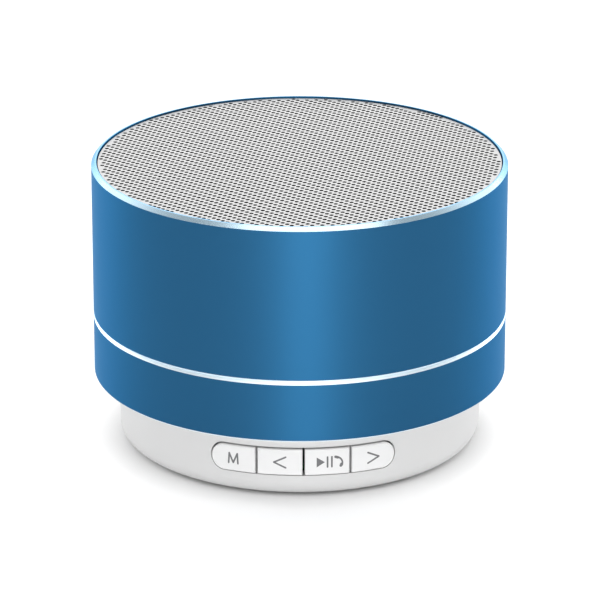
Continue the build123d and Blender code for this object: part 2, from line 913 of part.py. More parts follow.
# ------------------------------------------------------------------ keys and their switches
cap_band = row_band(key_inner_r, key_face_r, key_height, 0)
back_band = row_band(key_inner_r, key_back_r, key_height + 2 * key_back_rim, key_back_rim)
with BuildPart() as key_row:
    add(cap_band)
    add(back_band)
    for between in range(3):
        gap_angle = -90 + (between - 1) * key_pitch_angle
        with BuildSketch(facing(gap_angle, key_inner_r - spare, key_lift)):
            Rectangle(key_gap, key_height + 4 * key_back_rim)
        extrude(amount=key_face_r - key_inner_r + 2 * spare, mode=Mode.SUBTRACT)
key_solids = key_row.part.solids().sort_by(Axis.X)

for key_name, key_angle, key_solid in zip(key_names, key_angles, key_solids):
    with BuildPart() as key:
        add(key_solid)
        face = key.faces().sort_by_distance((0, 0, key_lift))[-1]
        fillet(face.edges(), radius=key_edge)
        with BuildSketch(facing(key_angle, plunger_tip_r, key_lift)):
            Rectangle(key_stem_width, key_stem_height)
        extrude(amount=key_stem_length + key_back / 2)
    save(key, f"key_{key_name}")
    plunger_face = facing(key_angle, plunger_tip_r, key_lift)
    block(
        f"plunger_{key_name}",
        plunger_face,
        plunger_width,
        plunger_height,
        -plunger_out - plunger_in,
    )

with BuildPart() as key_switches:
    for key_angle in key_angles:
        with BuildSketch(facing(key_angle, switch_face_r, key_lift)):
            Rectangle(switch_width, switch_height)
        extrude(amount=-switch_depth)
        with BuildSketch(facing(key_angle, switch_face_r, key_lift)):
            Rectangle(plunger_width + 2 * slide_gap, plunger_height + 2 * slide_gap)
        extrude(amount=-plunger_in - key_travel - slide_gap, mode=Mode.SUBTRACT)
save(key_switches, "key_switches")

# ------------------------------------------------------------------ charging socket
with BuildPart() as usb_socket:
    with BuildSketch(facing(90, usb_mouth_r, usb_z)):
        RectangleRounded(usb_width, usb_height, usb_corner)
    extrude(amount=-usb_depth)
    with BuildSketch(facing(90, usb_mouth_r, usb_z)):
        RectangleRounded(
            usb_width - 2 * usb_sheet, usb_height - 2 * usb_sheet, usb_corner - usb_sheet
        )
    extrude(amount=usb_sheet - usb_depth, mode=Mode.SUBTRACT)
save(usb_socket, "usb_socket")
block(
    "usb_tongue",
    facing(90, usb_mouth_r - usb_depth + usb_sheet, usb_z),
    usb_tongue_width,
    usb_tongue_height,
    usb_depth - usb_sheet - usb_tongue_setback,
)

# ------------------------------------------------------------------ memory-card socket
with BuildPart() as card_cover:
    with BuildSketch(facing(card_angle, card_mouth, card_z)):
        Rectangle(card_width, card_height)
        with Locations((0, -card_sheet / 2)):
            Rectangle(
                card_width - 2 * card_sheet, card_height - card_sheet, mode=Mode.SUBTRACT
            )
    extrude(amount=-card_depth)
save(card_cover, "card_cover")
with BuildPart() as card_base:
    with BuildSketch(facing(card_angle, card_mouth, card_z - card_sheet / 2)):
        Rectangle(card_width - 2 * card_sheet, card_height - card_sheet)
    extrude(amount=-card_depth)
    with BuildSketch(facing(card_angle, card_mouth, card_z)):
        Rectangle(card_way_width, card_way_height)
    extrude(amount=card_stop - card_depth, mode=Mode.SUBTRACT)
save(card_base, "card_base")

# ------------------------------------------------------------------ power switch
# It is drawn in its first position, half the travel to one side of its slot's middle.
with BuildPart() as power_switch:
    with BuildSketch(facing(power_angle, power_face_r, power_z)):
        Rectangle(power_width, power_height)
    extrude(amount=-power_depth)
    with BuildSketch(facing(power_angle, power_face_r, power_z)):
        Rectangle(lever_width + power_travel + 2 * slide_gap, lever_height + 2 * slide_gap)
    extrude(amount=-power_depth / 2, mode=Mode.SUBTRACT)
save(power_switch, "power_switch")

knob_plate_r = base_inner_r - knob_plate_inset
lever_r = knob_plate_r + lever_reach
with BuildPart() as power_slider:
    with BuildSketch(facing(power_angle, power_face_r - power_depth / 2 + slide_gap, power_z)):
        with Locations((-power_travel / 2, 0)):
            Rectangle(lever_width, lever_height)
    extrude(amount=lever_r - power_face_r + power_depth / 2 - slide_gap)
save(power_slider, "power_slider")

with BuildPart() as power_knob:
    with BuildSketch(facing(power_angle, knob_plate_r - knob_plate, power_z)):
        with Locations((-power_travel / 2, 0)):
            RectangleRounded(
                power_slot + 2 * knob_plate_margin,
                knob_height + 2 * knob_plate_margin,
                power_corner,
            )
    extrude(amount=knob_plate)
    with BuildSketch(facing(power_angle, knob_plate_r - knob_plate, power_z)):
        with Locations((-power_travel / 2, 0)):
            RectangleRounded(knob_width, knob_height, knob_corner)
    extrude(amount=base_r + knob_proud - knob_plate_r + knob_plate)
    with BuildSketch(facing(power_angle, knob_plate_r - knob_plate, power_z)):
        with Locations((-power_travel / 2, 0)):
            Rectangle(lever_width + slide_gap, lever_height + slide_gap)
    extrude(amount=lever_r - knob_plate_r + knob_plate, mode=Mode.SUBTRACT)
    with BuildSketch(facing(power_angle, base_r + knob_proud, power_z)):
        with Locations((-power_travel / 2, 0)):
            with GridLocations(rib_pitch, 0, rib_count, 1):
                Rectangle(rib_groove, knob_height)
    extrude(amount=-rib_depth, mode=Mode.SUBTRACT)
save(power_knob, "power_knob")

# ------------------------------------------------------------------ microphone and status light
grommet_face = base_inner_r - mic_gap
grommet_length = mic_length + 2 * grommet_wall
with BuildPart() as mic_grommet:
    with BuildSketch(facing(mic_angle, grommet_face, mic_lift)):
        Circle(mic_radius + grommet_wall)
    extrude(amount=-grommet_length)
    with BuildSketch(facing(mic_angle, grommet_face, mic_lift)):
        Circle(mic_hole)
    extrude(amount=-grommet_wall, mode=Mode.SUBTRACT)
    with BuildSketch(facing(mic_angle, grommet_face - grommet_wall, mic_lift)):
        Circle(mic_radius)
    extrude(amount=grommet_wall - grommet_length, mode=Mode.SUBTRACT)
save(mic_grommet, "mic_grommet")
with BuildPart() as microphone:
    with BuildSketch(facing(mic_angle, grommet_face - grommet_wall, mic_lift)):
        Circle(mic_radius)
    extrude(amount=-mic_length)
save(microphone, "microphone")
led_face = facing(led_angle, board_r - led_inset, board_top + led_height / 2)
block("status_led", led_face, led_width, led_height, -led_depth)

# ------------------------------------------------------------------ battery and leads
with BuildPart() as battery:
    with BuildSketch(level(battery_bottom)):
        Rectangle(battery_length, battery_width)
    extrude(amount=battery_thickness)
    fillet(battery.edges().filter_by(Axis.X), radius=battery_edge)
save(battery, "battery")
block(
    "battery_tape",
    level(plate_top),
    battery_length - 2 * tape_margin,
    battery_width - 2 * tape_margin,
    tape_thickness,
)
tab_z = battery_bottom + battery_thickness / 2
tab_face = battery_length / 2 + tab_board_thickness
block(
    "battery_tab_board",
    facing(0, battery_length / 2, tab_z),
    battery_width - 2 * tape_margin,
    battery_thickness - 2 * battery_edge,
    tab_board_thickness,
)
connector_top = board_top + connector_size[2]
connector_x = lead_circle - connector_shift
chips("lead_connectors", [(connector_x, 0), (-connector_x, 0)], connector_size)
lug_x = -shelf_r - lug_lead_reach
for colour, side in (("red", lead_spread / 2), ("black", -lead_spread / 2)):
    lead(
        f"battery_lead_{colour}",
        (tab_face, side, tab_z),
        (lead_circle, side, tab_z),
        (lead_circle, side, connector_top),
    )
    lead(
        f"speaker_lead_{colour}",
        (lug_x, side, lug_bottom),
        (lug_x, side, lug_bottom - lead_drop),
        (-lead_circle, side, lug_bottom - lead_drop - lead_slant),
        (-lead_circle, side, connector_top),
    )
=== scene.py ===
"""Dresses a small round speaker: turned sleeve, perforated top, white base, keys and their legends.

Run as a script, it loads the modelled parts, gives each its finish, adds the fine pieces that ride on
them, and sets up a plain pale studio. The sizes and colours are properties, and every step is an
operator listed in the sidebar of the 3D view.
"""

import json
from math import atan2, ceil, cos, hypot, pi, radians, sin

import bpy
from bpy.props import FloatProperty, FloatVectorProperty, IntProperty, PointerProperty
from bpy.types import Operator, Panel, PropertyGroup
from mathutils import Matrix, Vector
from mathutils.geometry import delaunay_2d_cdt


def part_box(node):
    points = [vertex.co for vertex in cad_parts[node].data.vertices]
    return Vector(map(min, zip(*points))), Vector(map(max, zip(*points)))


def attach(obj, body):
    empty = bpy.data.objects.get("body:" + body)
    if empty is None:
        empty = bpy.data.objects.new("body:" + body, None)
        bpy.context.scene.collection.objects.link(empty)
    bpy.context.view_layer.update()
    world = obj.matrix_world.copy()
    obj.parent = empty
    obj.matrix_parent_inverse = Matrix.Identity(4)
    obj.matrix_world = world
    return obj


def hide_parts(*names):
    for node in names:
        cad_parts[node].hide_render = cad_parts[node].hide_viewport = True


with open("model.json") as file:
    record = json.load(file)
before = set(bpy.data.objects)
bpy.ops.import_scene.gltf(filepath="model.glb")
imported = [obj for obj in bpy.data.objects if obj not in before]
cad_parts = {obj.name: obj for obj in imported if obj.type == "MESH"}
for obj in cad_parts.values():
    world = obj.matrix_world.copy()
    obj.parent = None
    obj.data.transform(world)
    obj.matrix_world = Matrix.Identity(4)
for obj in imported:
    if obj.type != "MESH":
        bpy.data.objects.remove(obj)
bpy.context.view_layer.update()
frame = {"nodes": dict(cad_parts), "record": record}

bl_info = {
    "name": "Pocket Speaker",
    "version": (1, 0, 0),
    "blender": (4, 5, 0),
    "location": "3D View > Sidebar > Speaker",
    "description": "Finishes, grille, key legends and studio of a small round speaker",
    "category": "Object",
}

MM = 0.001
NODES = frame["nodes"]
KEYS = ("mode", "back", "play", "next")


def corner(node, side, axis):
    """One coordinate of a part's box. side is 0 for its low corner and 1 for its high one."""
    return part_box(node)[side][axis]


# Places that the finishes and fine pieces share, all read from the parts.
SLEEVE_RADIUS = corner("sleeve", 1, 0)
SLEEVE_FOOT = corner("sleeve", 0, 2)
RIM_TOP = corner("sleeve", 1, 2)
GRILLE_RADIUS = corner("grille", 1, 0)
GRILLE_UNDER = corner("grille", 0, 2)
GRILLE_FACE = corner("grille", 1, 2)
CLOTH_RADIUS = corner("dust_cloth", 1, 0)
CLOTH_UNDER = corner("dust_cloth", 0, 2)
CLOTH_FACE = corner("dust_cloth", 1, 2)

GROOVE_HEIGHT = RIM_TOP - 26.7 * MM
# Each band is where a finish of the sleeve starts and ends its short fade.
RIM_BAND = (0.62 * MM, 0.59 * MM)  # down from the rim
CUT_BAND = (0.89 * MM, 0.86 * MM)  # in from the outer wall
BORE_BAND = (0.95 * MM, 0.91 * MM)  # in from the outer wall
GROOVE_BAND = (0.39 * MM, 0.41 * MM)  # up and down from the middle of the groove
FOOT_BAND = (0.19 * MM, 0.21 * MM)  # up from the lower edge
TURNING_RATE = 52000.0  # radians per metre, so a turned ridge every 0.12 mm
ROLLING_MARKS = (400.0, 6000.0, 400.0)  # stretch of the marks on rolled metal, per metre
CLOTH_PITCH = 0.25 * MM
FLOOR_HALF = 6.0
LAMP_AIM = Vector((0, 0, 0.025))
CAMERA_SHIFT = 0.05 * MM  # sideways, of the point that the camera looks at

KEY_FACE_RADIUS = 31.1 * MM
KEY_PITCH = 7.8 / 30.7  # distance between the keys over the radius of the wall, in radians
KEY_ANGLES = {name: -pi / 2 + (i - 1.5) * KEY_PITCH for i, name in enumerate(KEYS)}
HALF_MARK = 0.88 * MM  # half the height of the letter and of the play marks
FAN_SIDES = 12  # sides of the disc that rounds each joint of a printed line
CELL_SIDES = 6  # sides of the piece of sheet around each hole
WELD_DIGITS = 4  # vertices of the grille are joined when they agree to this many digits of a mm
MESH_TOLERANCE = 1e-6


# ---------------------------------------------------------------- shader expressions
class Signal:
    """A shader socket that can be used in Python expressions; each operator adds a Math node."""

    def __init__(self, finish, socket):
        self.finish = finish
        self.socket = socket

    def maths(self, operation, *values):
        inputs = dict(enumerate(values))
        node = self.finish.node("ShaderNodeMath", {"operation": operation}, inputs)
        return self.finish.out(node, 0)

    def __add__(self, other):
        return self.maths("ADD", self, other)

    def __radd__(self, other):
        return self.maths("ADD", other, self)

    def __sub__(self, other):
        return self.maths("SUBTRACT", self, other)

    def __rsub__(self, other):
        return self.maths("SUBTRACT", other, self)

    def __mul__(self, other):
        return self.maths("MULTIPLY", self, other)

    def __rmul__(self, other):
        return self.maths("MULTIPLY", other, self)

    def __abs__(self):
        return self.maths("ABSOLUTE", self)

    def sine(self):
        return self.maths("SINE", self)

    def root(self):
        return self.maths("SQRT", self)

    def between(self, low, high):
        """0 below low and 1 above high, with a smooth step from one to the other."""
        settings = {"interpolation_type": "SMOOTHSTEP"}
        inputs = {"Value": self, "From Min": low, "From Max": high}
        return self.finish.out(self.finish.node("ShaderNodeMapRange", settings, inputs), 0)


class NodeTree:
    """A node tree that is filled from scratch."""

    def __init__(self, owner):
        owner.use_nodes = True
        self.tree = owner.node_tree
        self.tree.nodes.clear()

    def node(self, kind, settings=None, inputs=None):
        """Adds a node, sets it up, and gives its sockets values or links."""
        node = self.tree.nodes.new(kind)
        for key, value in (settings or {}).items():
            setattr(node, key, value)
        for key, value in (inputs or {}).items():
            self.join(node.inputs[key], value)
        return node

    def out(self, node, socket):
        return Signal(self, node.outputs[socket])

    def join(self, socket, value):
        if isinstance(value, Signal):
            self.tree.links.new(value.socket, socket)
        elif hasattr(value, "__len__") and len(value) == 3 and socket.type == "RGBA":
            socket.default_value = (*value, 1.0)
        else:
            socket.default_value = value

    def split(self, vector):
        node = self.node("ShaderNodeSeparateXYZ", None, {"Vector": vector})
        return [self.out(node, i) for i in range(3)]


class Finish(NodeTree):
    """A material made of nodes around one Principled shader."""

    def __init__(self, name, **sockets):
        self.material = bpy.data.materials.new(name)
        super().__init__(self.material)
        self.shader = self.node("ShaderNodeBsdfPrincipled")
        surface = self.out(self.shader, "BSDF")
        self.node("ShaderNodeOutputMaterial", None, {"Surface": surface})
        self.feed(**sockets)
        self._place = None

    def feed(self, **sockets):
        """Sets the shader's sockets. base_color stands for Base Color, and so on."""
        for key, value in sockets.items():
            self.join(self.shader.inputs[SHADER_SOCKETS[key]], value)

    @property
    def place(self):
        """The point's own position on the object, in metres."""
        if self._place is None:
            self._place = self.out(self.node("ShaderNodeTexCoord"), "Object")
        return self._place

    def scaled(self, x, y, z):
        """The position stretched by a factor along each axis."""
        node = self.node(
            "ShaderNodeVectorMath", {"operation": "MULTIPLY"}, {0: self.place, 1: (x, y, z)}
        )
        return self.out(node, 0)

    def noise(self, size, detail=2.0, roughness=0.5, vector=None):
        """Cloudy values around 0.5, with clouds about that many metres across."""
        node = self.node(
            "ShaderNodeTexNoise",
            None,
            {
                "Vector": vector or self.place,
                "Scale": 1.0 / size if vector is None else 1.0,
                "Detail": detail,
                "Roughness": roughness,
            },
        )
        return self.out(node, "Fac")

    def weave(self, pitch):
        """Height of a plain weave, 0 to 1, with a thread every half pitch both ways."""
        x, y, _ = self.split(self.place)
        turns = 2 * pi / pitch
        return (x * turns).sine() * (y * turns).sine() * 0.5 + 0.5

    def mix(self, factor, first, second):
        """A colour between two colours."""
        node = self.node(
            "ShaderNodeMix", {"data_type": "RGBA"}, {0: factor, 6: first, 7: second}
        )
        return self.out(node, 2)

    def bump(self, height, depth, strength):
        """A normal for a relief whose height signal of 0 to 1 spans a depth in metres."""
        inputs = {"Height": height, "Distance": depth, "Strength": strength}
        return self.out(self.node("ShaderNodeBump", None, inputs), "Normal")

    def wear(self, *nodes):
        """Puts the finish on parts."""
        for node in nodes:
            for slot in NODES[node].material_slots:
                slot.material = self.material


SHADER_SOCKETS = {
    "base_color": "Base Color",
    "metallic": "Metallic",
    "roughness": "Roughness",
    "normal": "Normal",
    "coat": "Coat Weight",
    "coat_roughness": "Coat Roughness",
    "sheen": "Sheen Weight",
    "sheen_roughness": "Sheen Roughness",
    "specular": "Specular IOR Level",
    "specular_tint": "Specular Tint",
    "anisotropic": "Anisotropic",
    "anisotropic_rotation": "Anisotropic Rotation",
}


# ---------------------------------------------------------------- meshes
def add_object(name, data):
    added = bpy.data.objects.new(name, data)
    bpy.context.scene.collection.objects.link(added)
    return added


def new_piece(name, vertices, faces, body, material):
    """A mesh piece that rides on a body and wears the given finish."""
    mesh = bpy.data.meshes.new(name)
    mesh.from_pydata(vertices, [], faces)
    mesh.validate()
    mesh.update()
    mesh.materials.append(material)
    piece = add_object(name, mesh)
    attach(piece, body)
    return piece


def body_of(node):
    for body, members in frame["record"]["behaviour"]["bodies"].items():
        if node in members:
            return body
    raise ValueError(f"{node} is on no body")


def ring_of_points(radius, count, turn=0.0):
    step = 2 * pi / count
    return [(radius * cos(turn + i * step), radius * sin(turn + i * step)) for i in range(count)]


# ---------------------------------------------------------------- sizes and colours
def colour(name, default, description):
    return FloatVectorProperty(
        name=name, description=description, subtype="COLOR", size=3, min=0, max=1, default=default
    )


def length(name, default, description):
    return FloatProperty(
        name=name, description=description, default=default, min=0, unit="LENGTH", precision=5
    )


class GrilleSizes(PropertyGroup):
    """Perforation of the top sheet."""

    hole: length("Hole", 0.74 * MM, "Diameter of each hole")
    step_a: FloatVectorProperty(name="First step", description="From a hole to its neighbour",
                                size=2, subtype="XYZ_LENGTH", default=(0.931 * MM, 0.701 * MM))
    step_b: FloatVectorProperty(name="Second step", description="From a hole to its other neighbour",
                                size=2, subtype="XYZ_LENGTH", default=(0.712 * MM, -0.668 * MM))
    land: length("Edge land", 0.1 * MM, "Whole sheet between the outermost holes and the edge")
    hole_sides: IntProperty(name="Hole sides", description="Sides of each hole", default=12, min=6)
    edge_sides: IntProperty(name="Edge sides", description="Sides of the disc", default=240, min=48)


class LegendSizes(PropertyGroup):
    """Printing on the keys."""

    stroke: length("Stroke", 0.29 * MM, "Width of the printed lines")
    proud: length("Ink thickness", 0.015 * MM, "How far the ink stands proud of a key")
    sunk: length("Ink root", 0.05 * MM, "How far the ink reaches into a key")


class FinishColours(PropertyGroup):
    """Colours of the visible finishes, linear."""

    sleeve: colour("Anodised blue", (0.013, 0.105, 0.225), "Dyed aluminium of the sleeve")
    bright_cut: colour("Bright cut", (0.45, 0.60, 0.70), "Bare aluminium of the cut edges")
    line: colour("Bright line", (0.84, 0.92, 0.96), "Cut of the groove and the lower edge")
    # Near-black blue of the sleeve's inner wall: a darkened copy of the dye, painted shade inside the sleeve.
    bore_shade: colour("Bore shade", (0.012, 0.03, 0.04), "Dark blue inside the sleeve, painted shade")
    grille: colour("Grille", (0.462, 0.462, 0.462), "Perforated sheet")
    # Near-black finish of the hole walls: painted shade inside the holes of the sheet.
    hole: colour("Shaded hole walls", (0.012, 0.012, 0.012), "Near black, painted shade inside the holes")
    cloth: colour("Cloth", (0.012, 0.013, 0.015), "Dust cloth under the grille")
    plastic: colour("Base plastic", (0.575, 0.575, 0.575), "Moulded base")
    key: colour("Key plastic", (0.7, 0.7, 0.7), "Key caps")
    ink: colour("Ink", (0.13, 0.13, 0.135), "Printing on the keys")
    rubber: colour("Foot", (0.03, 0.03, 0.032), "Rubber foot")


class StudioSettings(PropertyGroup):
    """Camera and lights."""

    azimuth: FloatProperty(
        name="Camera azimuth", description="Turn of the camera round the speaker",
        default=radians(-1.2), unit="ROTATION"
    )
    elevation: FloatProperty(
        name="Camera elevation", description="Height angle of the camera",
        default=radians(20.53), unit="ROTATION"
    )
    distance: length("Camera distance", 0.7238, "From the aimed point to the camera")
    aim: length("Aimed height", 0.02359, "Height of the point that the camera looks at")
    lens: FloatProperty(name="Focal length", description="In millimetres", default=255.6, min=10)
    floor: colour("Floor", (0.93, 0.93, 0.93), "Plain pale floor")
    world: FloatProperty(name="Ambient", description="Brightness of the room", default=0.54)
    backdrop: FloatProperty(name="Backdrop", description="Added brightness behind", default=1.3)
    top: FloatProperty(name="Overhead", description="Brightness of the overhead panel", default=1.8)
    front: FloatProperty(name="Front", description="Brightness of the front strip", default=42.0)
    side: FloatProperty(name="Sides", description="Brightness of the side strips", default=5.0)
    key: FloatProperty(name="Key", description="Brightness of the front key panel", default=0.7)


class SpeakerSettings(PropertyGroup):
    """All sizes and colours of the speaker."""

    grille: PointerProperty(type=GrilleSizes)
    legends: PointerProperty(type=LegendSizes)
    colours: PointerProperty(type=FinishColours)
    studio: PointerProperty(type=StudioSettings)


def settings():
    return bpy.context.scene.speaker


# ---------------------------------------------------------------- operators
class SPEAKER_OT_sleeve(Operator):
    """Gives the sleeve its satin anodised blue with bright cut edges"""

    bl_idname = "speaker.sleeve"
    bl_label = "Sleeve"

    def execute(self, context):
        colours = settings().colours
        f = Finish(
            "Anodised aluminium",
            metallic=1.0,
            anisotropic=0.5,
            anisotropic_rotation=0.25,
            specular_tint=(0.3, 0.6, 0.9),
            coat=0.2,
            coat_roughness=0.4,
        )
        x, y, z = f.split(f.place)
        radius = (x * x + y * y).root()
        outside = radius.between(*[SLEEVE_RADIUS - depth for depth in CUT_BAND])
        rim = z.between(*[RIM_TOP - depth for depth in RIM_BAND]) * outside
        # The bore is coloured a near-black blue: painted shade inside the sleeve.
        inside = 1 - radius.between(*[SLEEVE_RADIUS - depth for depth in BORE_BAND])
        groove = 1 - abs(z - GROOVE_HEIGHT).between(*GROOVE_BAND)
        foot = 1 - z.between(*[SLEEVE_FOOT + rise for rise in FOOT_BAND])
        line = (groove + foot) * outside
        grain = f.noise(0.09 * MM, detail=3.0, roughness=0.6)
        cloud = f.noise(9 * MM, detail=2.0)
        faded = tuple(0.9 * c for c in colours.sleeve)
        dye = f.mix(0.94 + 0.12 * (cloud - 0.5), faded, tuple(colours.sleeve))
        turning = (z * TURNING_RATE).sine() * 0.5 + 0.5
        cut = rim + line
        relief = grain * (1 - cut) + turning * cut
        metals = f.mix(rim, f.mix(line, dye, tuple(colours.line)), tuple(colours.bright_cut))
        f.feed(
            base_color=f.mix(inside, metals, tuple(colours.bore_shade)),
            roughness=0.55 - 0.30 * rim + (grain - 0.5) * 0.06,
            normal=f.bump(relief, 0.004 * MM, 0.35),
        )
        f.wear("sleeve")
        return {"FINISHED"}


class PerforatedDisc:
    """A flat disc full of round holes in a slanting lattice, worked out in millimetres.

    Each hole far enough inside has its own six-sided cell of sheet, a copy of one pattern. The strip
    between the last whole cells and the edge is triangulated once.
    """

    def __init__(self, radius, sizes):
        self.radius = radius / MM
        self.hole_radius = sizes.hole / MM / 2
        self.sides = sizes.hole_sides
        self.edge_sides = sizes.edge_sides
        self.step_a = Vector(sizes.step_a) / MM
        self.step_b = Vector(sizes.step_b) / MM
        self.reach = self.radius - self.hole_radius - sizes.land / MM
        self.corners = self.cell_corners()
        self.vertices = []
        self.index = {}
        self.faces = []

    def cell_corners(self):
        """Corners of the sheet nearer to one hole than to its neighbours, anticlockwise."""
        a, b = self.step_a, self.step_b
        near = sorted([a, b, a - b, -a, -b, b - a], key=lambda v: atan2(v.y, v.x))
        corners = []
        for first, second in zip(near, near[1:] + near[:1]):
            cross = 2 * (first.x * second.y - first.y * second.x)
            x = (second.y * first.length_squared - first.y * second.length_squared) / cross
            y = (first.x * second.length_squared - second.x * first.length_squared) / cross
            corners.append((x, y))
        return corners

    def centre(self, i, j):
        return (i * self.step_a.x + j * self.step_b.x, i * self.step_a.y + j * self.step_b.y)

    def vertex(self, x, y):
        key = (round(x, WELD_DIGITS), round(y, WELD_DIGITS))
        if key not in self.index:
            self.index[key] = len(self.vertices)
            self.vertices.append((x, y))
        return self.index[key]

    def hole(self, centre):
        turn = atan2(self.corners[0][1], self.corners[0][0])
        ring = ring_of_points(self.hole_radius, self.sides, turn)
        return [(centre[0] + x, centre[1] + y) for x, y in ring]

    def build(self):
        inside, outer = [], []
        span = ceil(2 * self.reach / min(self.step_a.length, self.step_b.length))
        margin = 2 * max(hypot(*corner) for corner in self.corners)
        for i in range(-span, span + 1):
            for j in range(-span, span + 1):
                centre = self.centre(i, j)
                if hypot(*centre) < self.reach - margin:
                    inside.append(centre)
                elif hypot(*centre) < self.reach:
                    outer.append(centre)
        border = {}
        for centre in inside:
            self.add_cell(centre, border)
        self.add_edge_strip(set(inside), outer, border)
        return self.vertices, self.faces

    def add_cell(self, centre, border):
        corners = [self.vertex(centre[0] + x, centre[1] + y) for x, y in self.corners]
        hole = [self.vertex(x, y) for x, y in self.hole(centre)]
        spans = self.sides // CELL_SIDES
        for k in range(CELL_SIDES):
            near = [hole[(spans * k + i) % self.sides] for i in range(spans + 1)]
            first, last = corners[k], corners[(k + 1) % CELL_SIDES]
            turn = spans // 2
            for i in range(spans):
                pivot = first if i < turn else last
                self.faces.append((pivot, near[i + 1], near[i]))
            self.faces.append((first, last, near[turn]))
            if (last, first) in border:
                del border[(last, first)]
            else:
                border[(first, last)] = True

    def add_edge_strip(self, inside, outer, border):
        points, edges = [], []
        for loop in [ring_of_points(self.radius, self.edge_sides)] + [self.hole(c) for c in outer]:
            first = len(points)
            points += [Vector(p) for p in loop]
            edges += [(first + i, first + (i + 1) % len(loop)) for i in range(len(loop))]
        place = {}
        for pair in border:
            for corner_index in pair:
                if corner_index not in place:
                    place[corner_index] = len(points)
                    points.append(Vector(self.vertices[corner_index]))
            edges.append((place[pair[0]], place[pair[1]]))
        flat, _, faces, *_ = delaunay_2d_cdt(points, edges, [], 0, MESH_TOLERANCE)
        apothem = self.hole_radius * cos(pi / self.sides)
        for face in faces:
            x = sum(flat[i].x for i in face) / len(face)
            y = sum(flat[i].y for i in face) / len(face)
            nearest = self.nearest_centre(x, y)
            in_hole = hypot(*nearest) < self.reach and hypot(x - nearest[0], y - nearest[1]) < apothem
            if nearest not in inside and not in_hole:
                self.faces.append(tuple(self.vertex(*flat[i]) for i in face))

    def nearest_centre(self, x, y):
        a, b = self.step_a, self.step_b
        cross = a.x * b.y - a.y * b.x
        i = round((x * b.y - y * b.x) / cross)
        j = round((a.x * y - a.y * x) / cross)
        near = [self.centre(i + p, j + q) for p in (-1, 0, 1) for q in (-1, 0, 1)]
        return min(near, key=lambda c: hypot(x - c[0], y - c[1]))


def thickened(flat, faces, place_upper, place_lower):
    """Closes a flat patch of faces into a solid between two surfaces."""
    count = len(flat)
    vertices = [place_upper(x, y) for x, y in flat] + [place_lower(x, y) for x, y in flat]
    solid = list(faces)
    solid += [tuple(count + i for i in reversed(face)) for face in faces]
    sides = {(face[i - 1], face[i]) for face in faces for i in range(len(face))}
    solid += [(b, a, count + a, count + b) for a, b in sorted(sides) if (b, a) not in sides]
    return vertices, solid


class SPEAKER_OT_grille(Operator):
    """Builds the perforated top sheet, hole by hole"""

    bl_idname = "speaker.grille"
    bl_label = "Grille"

    def execute(self, context):
        sizes = settings().grille
        colours = settings().colours
        flat, faces = PerforatedDisc(GRILLE_RADIUS, sizes).build()
        vertices, solid = thickened(
            flat,
            faces,
            lambda x, y: (x * MM, y * MM, GRILLE_FACE),
            lambda x, y: (x * MM, y * MM, GRILLE_UNDER),
        )
        f = Finish("Grille metal", metallic=0.55)
        grain = f.noise(0.12 * MM, detail=2.0)
        cloud = f.noise(14 * MM, detail=2.0)
        pale = tuple(colours.grille)
        f.feed(
            base_color=f.mix((cloud - 0.5) * 0.5 + 0.5, tuple(0.96 * c for c in pale), pale),
            roughness=0.42 + (grain - 0.5) * 0.1,
            normal=f.bump(grain, 0.003 * MM, 0.3),
        )
        body = body_of("grille")
        piece = new_piece("perforated_top", vertices, solid, body, f.material)
        # The hole walls, the underside and the edge of the sheet wear a near-black finish: painted shade in
        # the holes.
        walls = moulded("Shaded hole walls", colours.hole, roughness=0.6, texture=0.1 * MM, depth=0.002 * MM)
        piece.data.materials.append(walls.material)
        for face in piece.data.polygons:
            face.material_index = 0 if face.normal.z > 0.5 else 1
        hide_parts("grille")
        return {"FINISHED"}


class SPEAKER_OT_cloth(Operator):
    """Stretches the dust cloth under the grille"""

    bl_idname = "speaker.cloth"
    bl_label = "Dust cloth"

    def execute(self, context):
        colours = settings().colours
        f = Finish("Dust cloth", roughness=0.95, sheen=0.15, sheen_roughness=0.6)
        height = f.weave(CLOTH_PITCH)
        # The colour darkens where the weave dips: painted shade between the threads.
        f.feed(
            base_color=f.mix(height, tuple(0.5 * c for c in colours.cloth), tuple(colours.cloth)),
            normal=f.bump(height, 0.03 * MM, 0.6),
        )
        sides = 180
        circles = 6
        vertices = []
        for level in (CLOTH_FACE, CLOTH_UNDER):
            vertices.append((0, 0, level))
            for k in range(1, circles + 1):
                vertices += [(px, py, level) for px, py in ring_of_points(CLOTH_RADIUS * k / circles, sides)]
        half = 1 + circles * sides
        faces = []
        for i in range(sides):
            j = (i + 1) % sides
            faces.append((0, 1 + i, 1 + j))
            faces.append((half, half + 1 + j, half + 1 + i))
            for k in range(circles - 1):
                a = 1 + k * sides
                b = a + sides
                faces.append((a + i, b + i, b + j, a + j))
                faces.append((half + a + j, half + b + j, half + b + i, half + a + i))
            rim = 1 + (circles - 1) * sides
            faces.append((rim + i, half + rim + i, half + rim + j, rim + j))
        piece = new_piece("speaker_cloth", vertices, faces, body_of("dust_cloth"), f.material)
        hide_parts("dust_cloth")
        return {"FINISHED"}


def moulded(name, tone, roughness, texture, depth):
    """A moulded plastic with a fine spark-eroded texture."""
    f = Finish(name)
    grain = f.noise(texture, detail=2.0, roughness=0.6)
    cloud = f.noise(12 * MM, detail=2.0)
    f.feed(
        base_color=f.mix((cloud - 0.5) * 0.6 + 0.5, tuple(0.975 * c for c in tone), tuple(tone)),
        roughness=roughness + (grain - 0.5) * 0.12,
        normal=f.bump(grain, depth, 0.5),
    )
    return f


def metal(name, tone, roughness, texture):
    """A plain plated metal with faint rolling marks."""
    f = Finish(name, metallic=1.0)
    lines = f.noise(1.0, detail=2.0, vector=f.scaled(*ROLLING_MARKS))
    f.feed(
        base_color=f.mix(lines, tuple(0.9 * c for c in tone), tuple(tone)),
        roughness=roughness + (lines - 0.5) * 0.15,
        normal=f.bump(f.noise(texture), 0.002 * MM, 0.4),
    )
    return f


